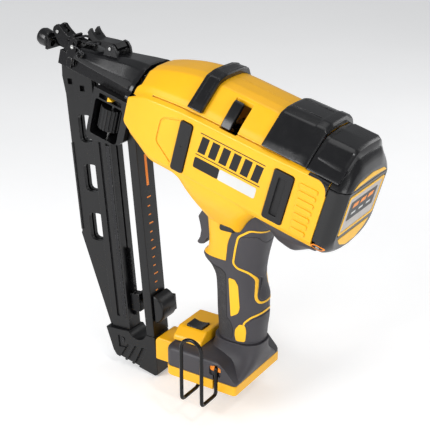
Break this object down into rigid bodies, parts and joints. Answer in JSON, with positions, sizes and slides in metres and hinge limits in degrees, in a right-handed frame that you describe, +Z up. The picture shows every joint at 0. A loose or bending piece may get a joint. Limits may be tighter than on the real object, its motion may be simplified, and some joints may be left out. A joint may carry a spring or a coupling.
{
  "type": "cordless brad nailer",
  "caption": "Cordless brad nailer, bare tool, with a slanted stick magazine, jam-clearing nose latch, depth wheel, trigger and wire belt hook.",
  "frame": {"origin": "middle of the foot's underside, on the flat bottom of the terminal block", "axes": "+X to the back of the tool, +Y to the tool's right, +Z up the handle"},
  "size_m": [0.3211, 0.1026, 0.3128],
  "materials": {
    "yellow_plastic": "satin moulded plastic",
    "grey_plastic": "fine textured moulded plastic",
    "black_plastic": "satin glass-filled plastic",
    "black_rubber": "matt moulded rubber",
    "black_steel": "blackened steel, satin",
    "bright_steel": "ground steel",
    "copper": "copper windings",
    "board_green": "circuit board"
  },
  "bodies": {
    "tool": {"arm_pin": "bright_steel", "belt_hook": "black_steel", "bumper": "black_rubber", "control_board": "board_green", "depth_frame": "black_plastic", "door_pin": "bright_steel", "foot": "grey_plastic", "foot_rim": "yellow_plastic", "front_pad_left": "black_rubber", "front_pad_right": "black_rubber", "front_strap": "black_plastic", "grip_left": "grey_plastic", "grip_right": "grey_plastic", "housing_left": "yellow_plastic", "housing_right": "yellow_plastic", "latch_pin": "bright_steel", "magazine_body": "black_plastic", "magazine_bracket": "yellow_plastic", "magazine_end_cap": "black_plastic", "magazine_spine": "black_plastic", "magazine_strip": "bright_steel", "mode_housing": "yellow_plastic", "motor_bearing_left": "bright_steel", "motor_bearing_right": "bright_steel", "motor_stator": "copper", "nose_cover": "black_plastic", "nosepiece": "black_steel", "rear_badge": "yellow_plastic", "rear_cap": "grey_plastic", "rear_guard": "black_plastic", "rear_pad_left": "black_rubber", "rear_pad_right": "black_rubber", "return_rail_left": "bright_steel", "return_rail_right": "bright_steel", "return_spring_left": "bright_steel", "return_spring_right": "bright_steel", "solenoid": "copper", "terminal_block": "black_plastic", "trigger_pin": "bright_steel", "trigger_switch": "black_plastic"},
    "trigger": {"trigger": "grey_plastic"},
    "lock_button": {"lock_button": "black_plastic"},
    "contact_trip": {"contact_trip": "black_steel", "no_mar_pad": "black_rubber"},
    "depth_wheel": {"depth_wheel": "black_rubber", "depth_screw": "bright_steel"},
    "depth_pointer": {"depth_pointer": "yellow_plastic"},
    "latch_lever": {"latch_lever": "grey_plastic"},
    "latch_bail": {"latch_bail": "black_steel"},
    "nose_door": {"nose_door": "black_steel"},
    "stall_lever": {"stall_lever": "black_plastic"},
    "pusher": {"pusher": "black_steel", "pusher_knob": "black_plastic"},
    "driver": {"driver": "bright_steel"},
    "flywheel": {"flywheel": "bright_steel", "motor_shaft": "bright_steel"},
    "roller_arm": {"roller_arm": "black_steel"},
    "pinch_roller": {"pinch_roller": "bright_steel"},
    "solenoid_plunger": {"solenoid_plunger": "bright_steel"},
    "mode_rocker": {"mode_rocker": "black_plastic"}
  },
  "joints": [
    {"name": "trigger_pull", "type": "hinge", "parent": "tool", "child": "trigger", "pos_m": [-0.007, 0, 0.148], "axis": [0, -1, 0], "range_deg": [0, 10], "stiffness_Nm_per_rad": 0.3, "springref_deg": -8.59},
    {"name": "lock_push", "type": "slide", "parent": "tool", "child": "lock_button", "axis": [0, 1, 0], "range_m": [-0.0015, 0.0015]},
    {"name": "trip_press", "type": "slide", "parent": "tool", "child": "contact_trip", "axis": [0.9636, 0, -0.2672], "range_m": [0, 0.008], "stiffness_N_per_m": 700, "springref_m": -0.003},
    {"name": "depth_wheel_turn", "type": "hinge", "parent": "tool", "child": "depth_wheel", "pos_m": [-0.1059, -0.0065, 0.21277], "axis": [0.2672, 0, 0.9636], "range_deg": [-150, 150]},
    {"name": "depth_pointer_slide", "type": "slide", "parent": "tool", "child": "depth_pointer", "axis": [0.9636, 0, -0.2672], "range_m": [-0.003, 0.003]},
    {"name": "latch_open", "type": "hinge", "parent": "tool", "child": "latch_lever", "pos_m": [-0.1017, 0, 0.27283], "axis": [0, 1, 0], "range_deg": [0, 70]},
    {"name": "bail_swing", "type": "hinge", "parent": "latch_lever", "child": "latch_bail", "pos_m": [-0.11567, 0, 0.27484], "axis": [0, 1, 0], "range_deg": [0, 35]},
    {"name": "door_open", "type": "hinge", "parent": "tool", "child": "nose_door", "pos_m": [-0.16219, 0, 0.27923], "axis": [0, -1, 0], "range_deg": [0, 56]},
    {"name": "stall_lever_lift", "type": "hinge", "parent": "tool", "child": "stall_lever", "pos_m": [0.03247, -0.0262, 0.25036], "axis": [-0.9636, 0, 0.2672], "range_deg": [0, 22], "stiffness_Nm_per_rad": 0.02, "springref_deg": -11.46},
    {"name": "pusher_slide", "type": "slide", "parent": "tool", "child": "pusher", "axis": [-0.0785, 0, 0.9969], "range_m": [0, 0.096]},
    {"name": "driver_stroke", "type": "slide", "parent": "tool", "child": "driver", "axis": [-0.9636, 0, 0.2672], "range_m": [0, 0.07], "stiffness_N_per_m": 150, "springref_m": -0.03, "deforming": ["return_spring_left", "return_spring_right"]},
    {"name": "flywheel_spin", "type": "hinge", "parent": "tool", "child": "flywheel", "pos_m": [0.00801, 0, 0.19321], "axis": [0, 1, 0], "continuous": true},
    {"name": "solenoid_push", "type": "slide", "parent": "tool", "child": "solenoid_plunger", "axis": [-0.9636, 0, 0.2672], "range_m": [0, 0.0025], "stiffness_N_per_m": 400, "springref_m": -0.002},
    {"name": "roller_press", "type": "hinge", "parent": "tool", "child": "roller_arm", "pos_m": [0.05789, 0, 0.22338], "axis": [0, -1, 0], "range_deg": [0, 0.7]},
    {"name": "roller_spin", "type": "hinge", "parent": "roller_arm", "child": "pinch_roller", "pos_m": [0.01619, 0, 0.2227], "axis": [0, 1, 0], "continuous": true},
    {"name": "mode_rock", "type": "hinge", "parent": "tool", "child": "mode_rocker", "pos_m": [-0.0175, -0.009, 0.0374], "axis": [0, 1, 0], "range_deg": [-6, 6]}
  ],
  "couplings": [
    {"joint": "depth_pointer_slide", "follows": "depth_wheel_turn", "m_per_rad": 0.0011077},
    {"joint": "door_open", "follows": "latch_open", "ratio": 0.79},
    {"joint": "roller_press", "follows": "solenoid_push", "rad_per_m": 4.8171}
  ]
}
